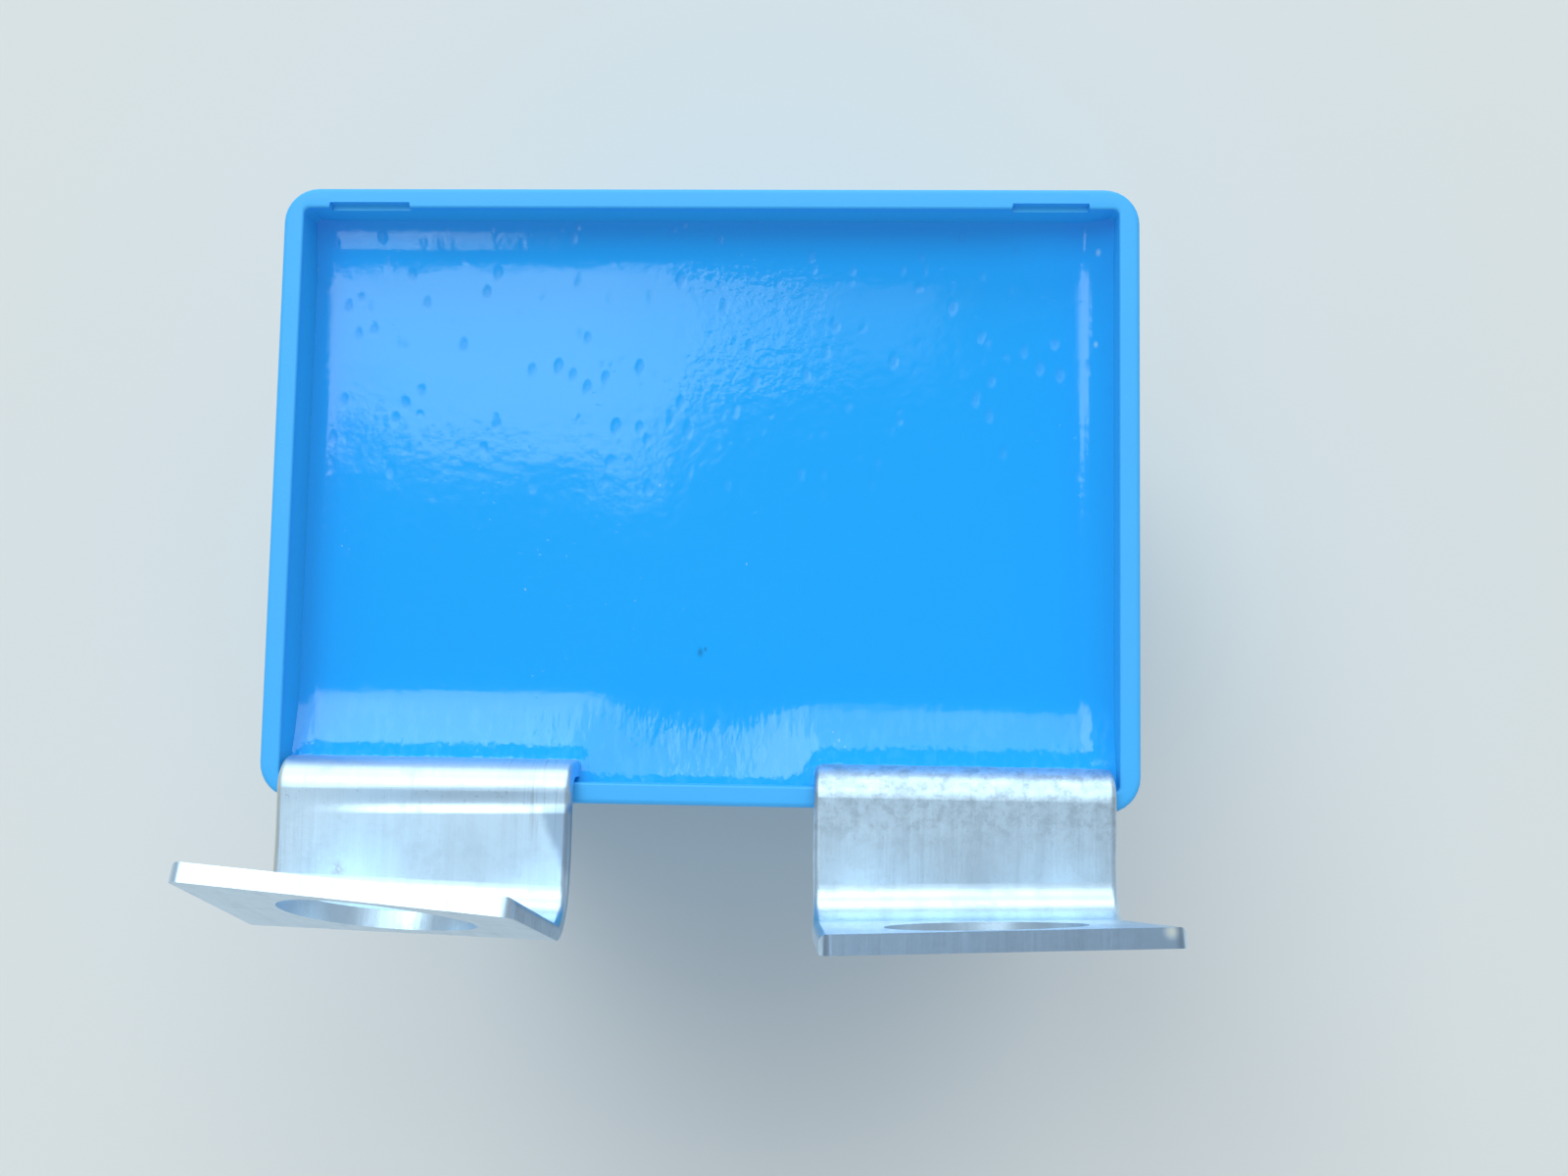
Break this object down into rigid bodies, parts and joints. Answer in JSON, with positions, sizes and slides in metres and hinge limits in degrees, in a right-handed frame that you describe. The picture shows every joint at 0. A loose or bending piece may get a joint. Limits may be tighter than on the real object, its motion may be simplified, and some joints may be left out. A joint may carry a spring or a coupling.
{
  "type": "film capacitor",
  "caption": "Box-type film capacitor with a resin-filled open end and folded strip lugs for screw mounting on power terminals.",
  "frame": {"origin": "centre of the closed end's flat face", "axes": "+Z from the closed end to the resin-filled end, +X along the long walls, lugs over the -Y wall"},
  "size_m": [0.042, 0.0361, 0.0593],
  "materials": {
    "case_plastic": "light blue moulded plastic, satin",
    "potting_resin": "light blue cast resin, glossy with slight orange peel",
    "tinned_copper": "tin plate over copper, faint drawn lines and scuffs",
    "metallised_film": "silvery wound film",
    "plain_film": "clear film, several turns",
    "sprayed_zinc": "rough sprayed metal",
    "solder": "dull solder"
  },
  "bodies": {
    "root": {"case": "case_plastic", "potting": "potting_resin", "lug_left": "tinned_copper", "lug_right": "tinned_copper", "winding": "metallised_film", "outer_wrap": "plain_film", "end_spray_left": "sprayed_zinc", "end_spray_right": "sprayed_zinc", "solder_left": "solder", "solder_right": "solder"}
  },
  "joints": []
}
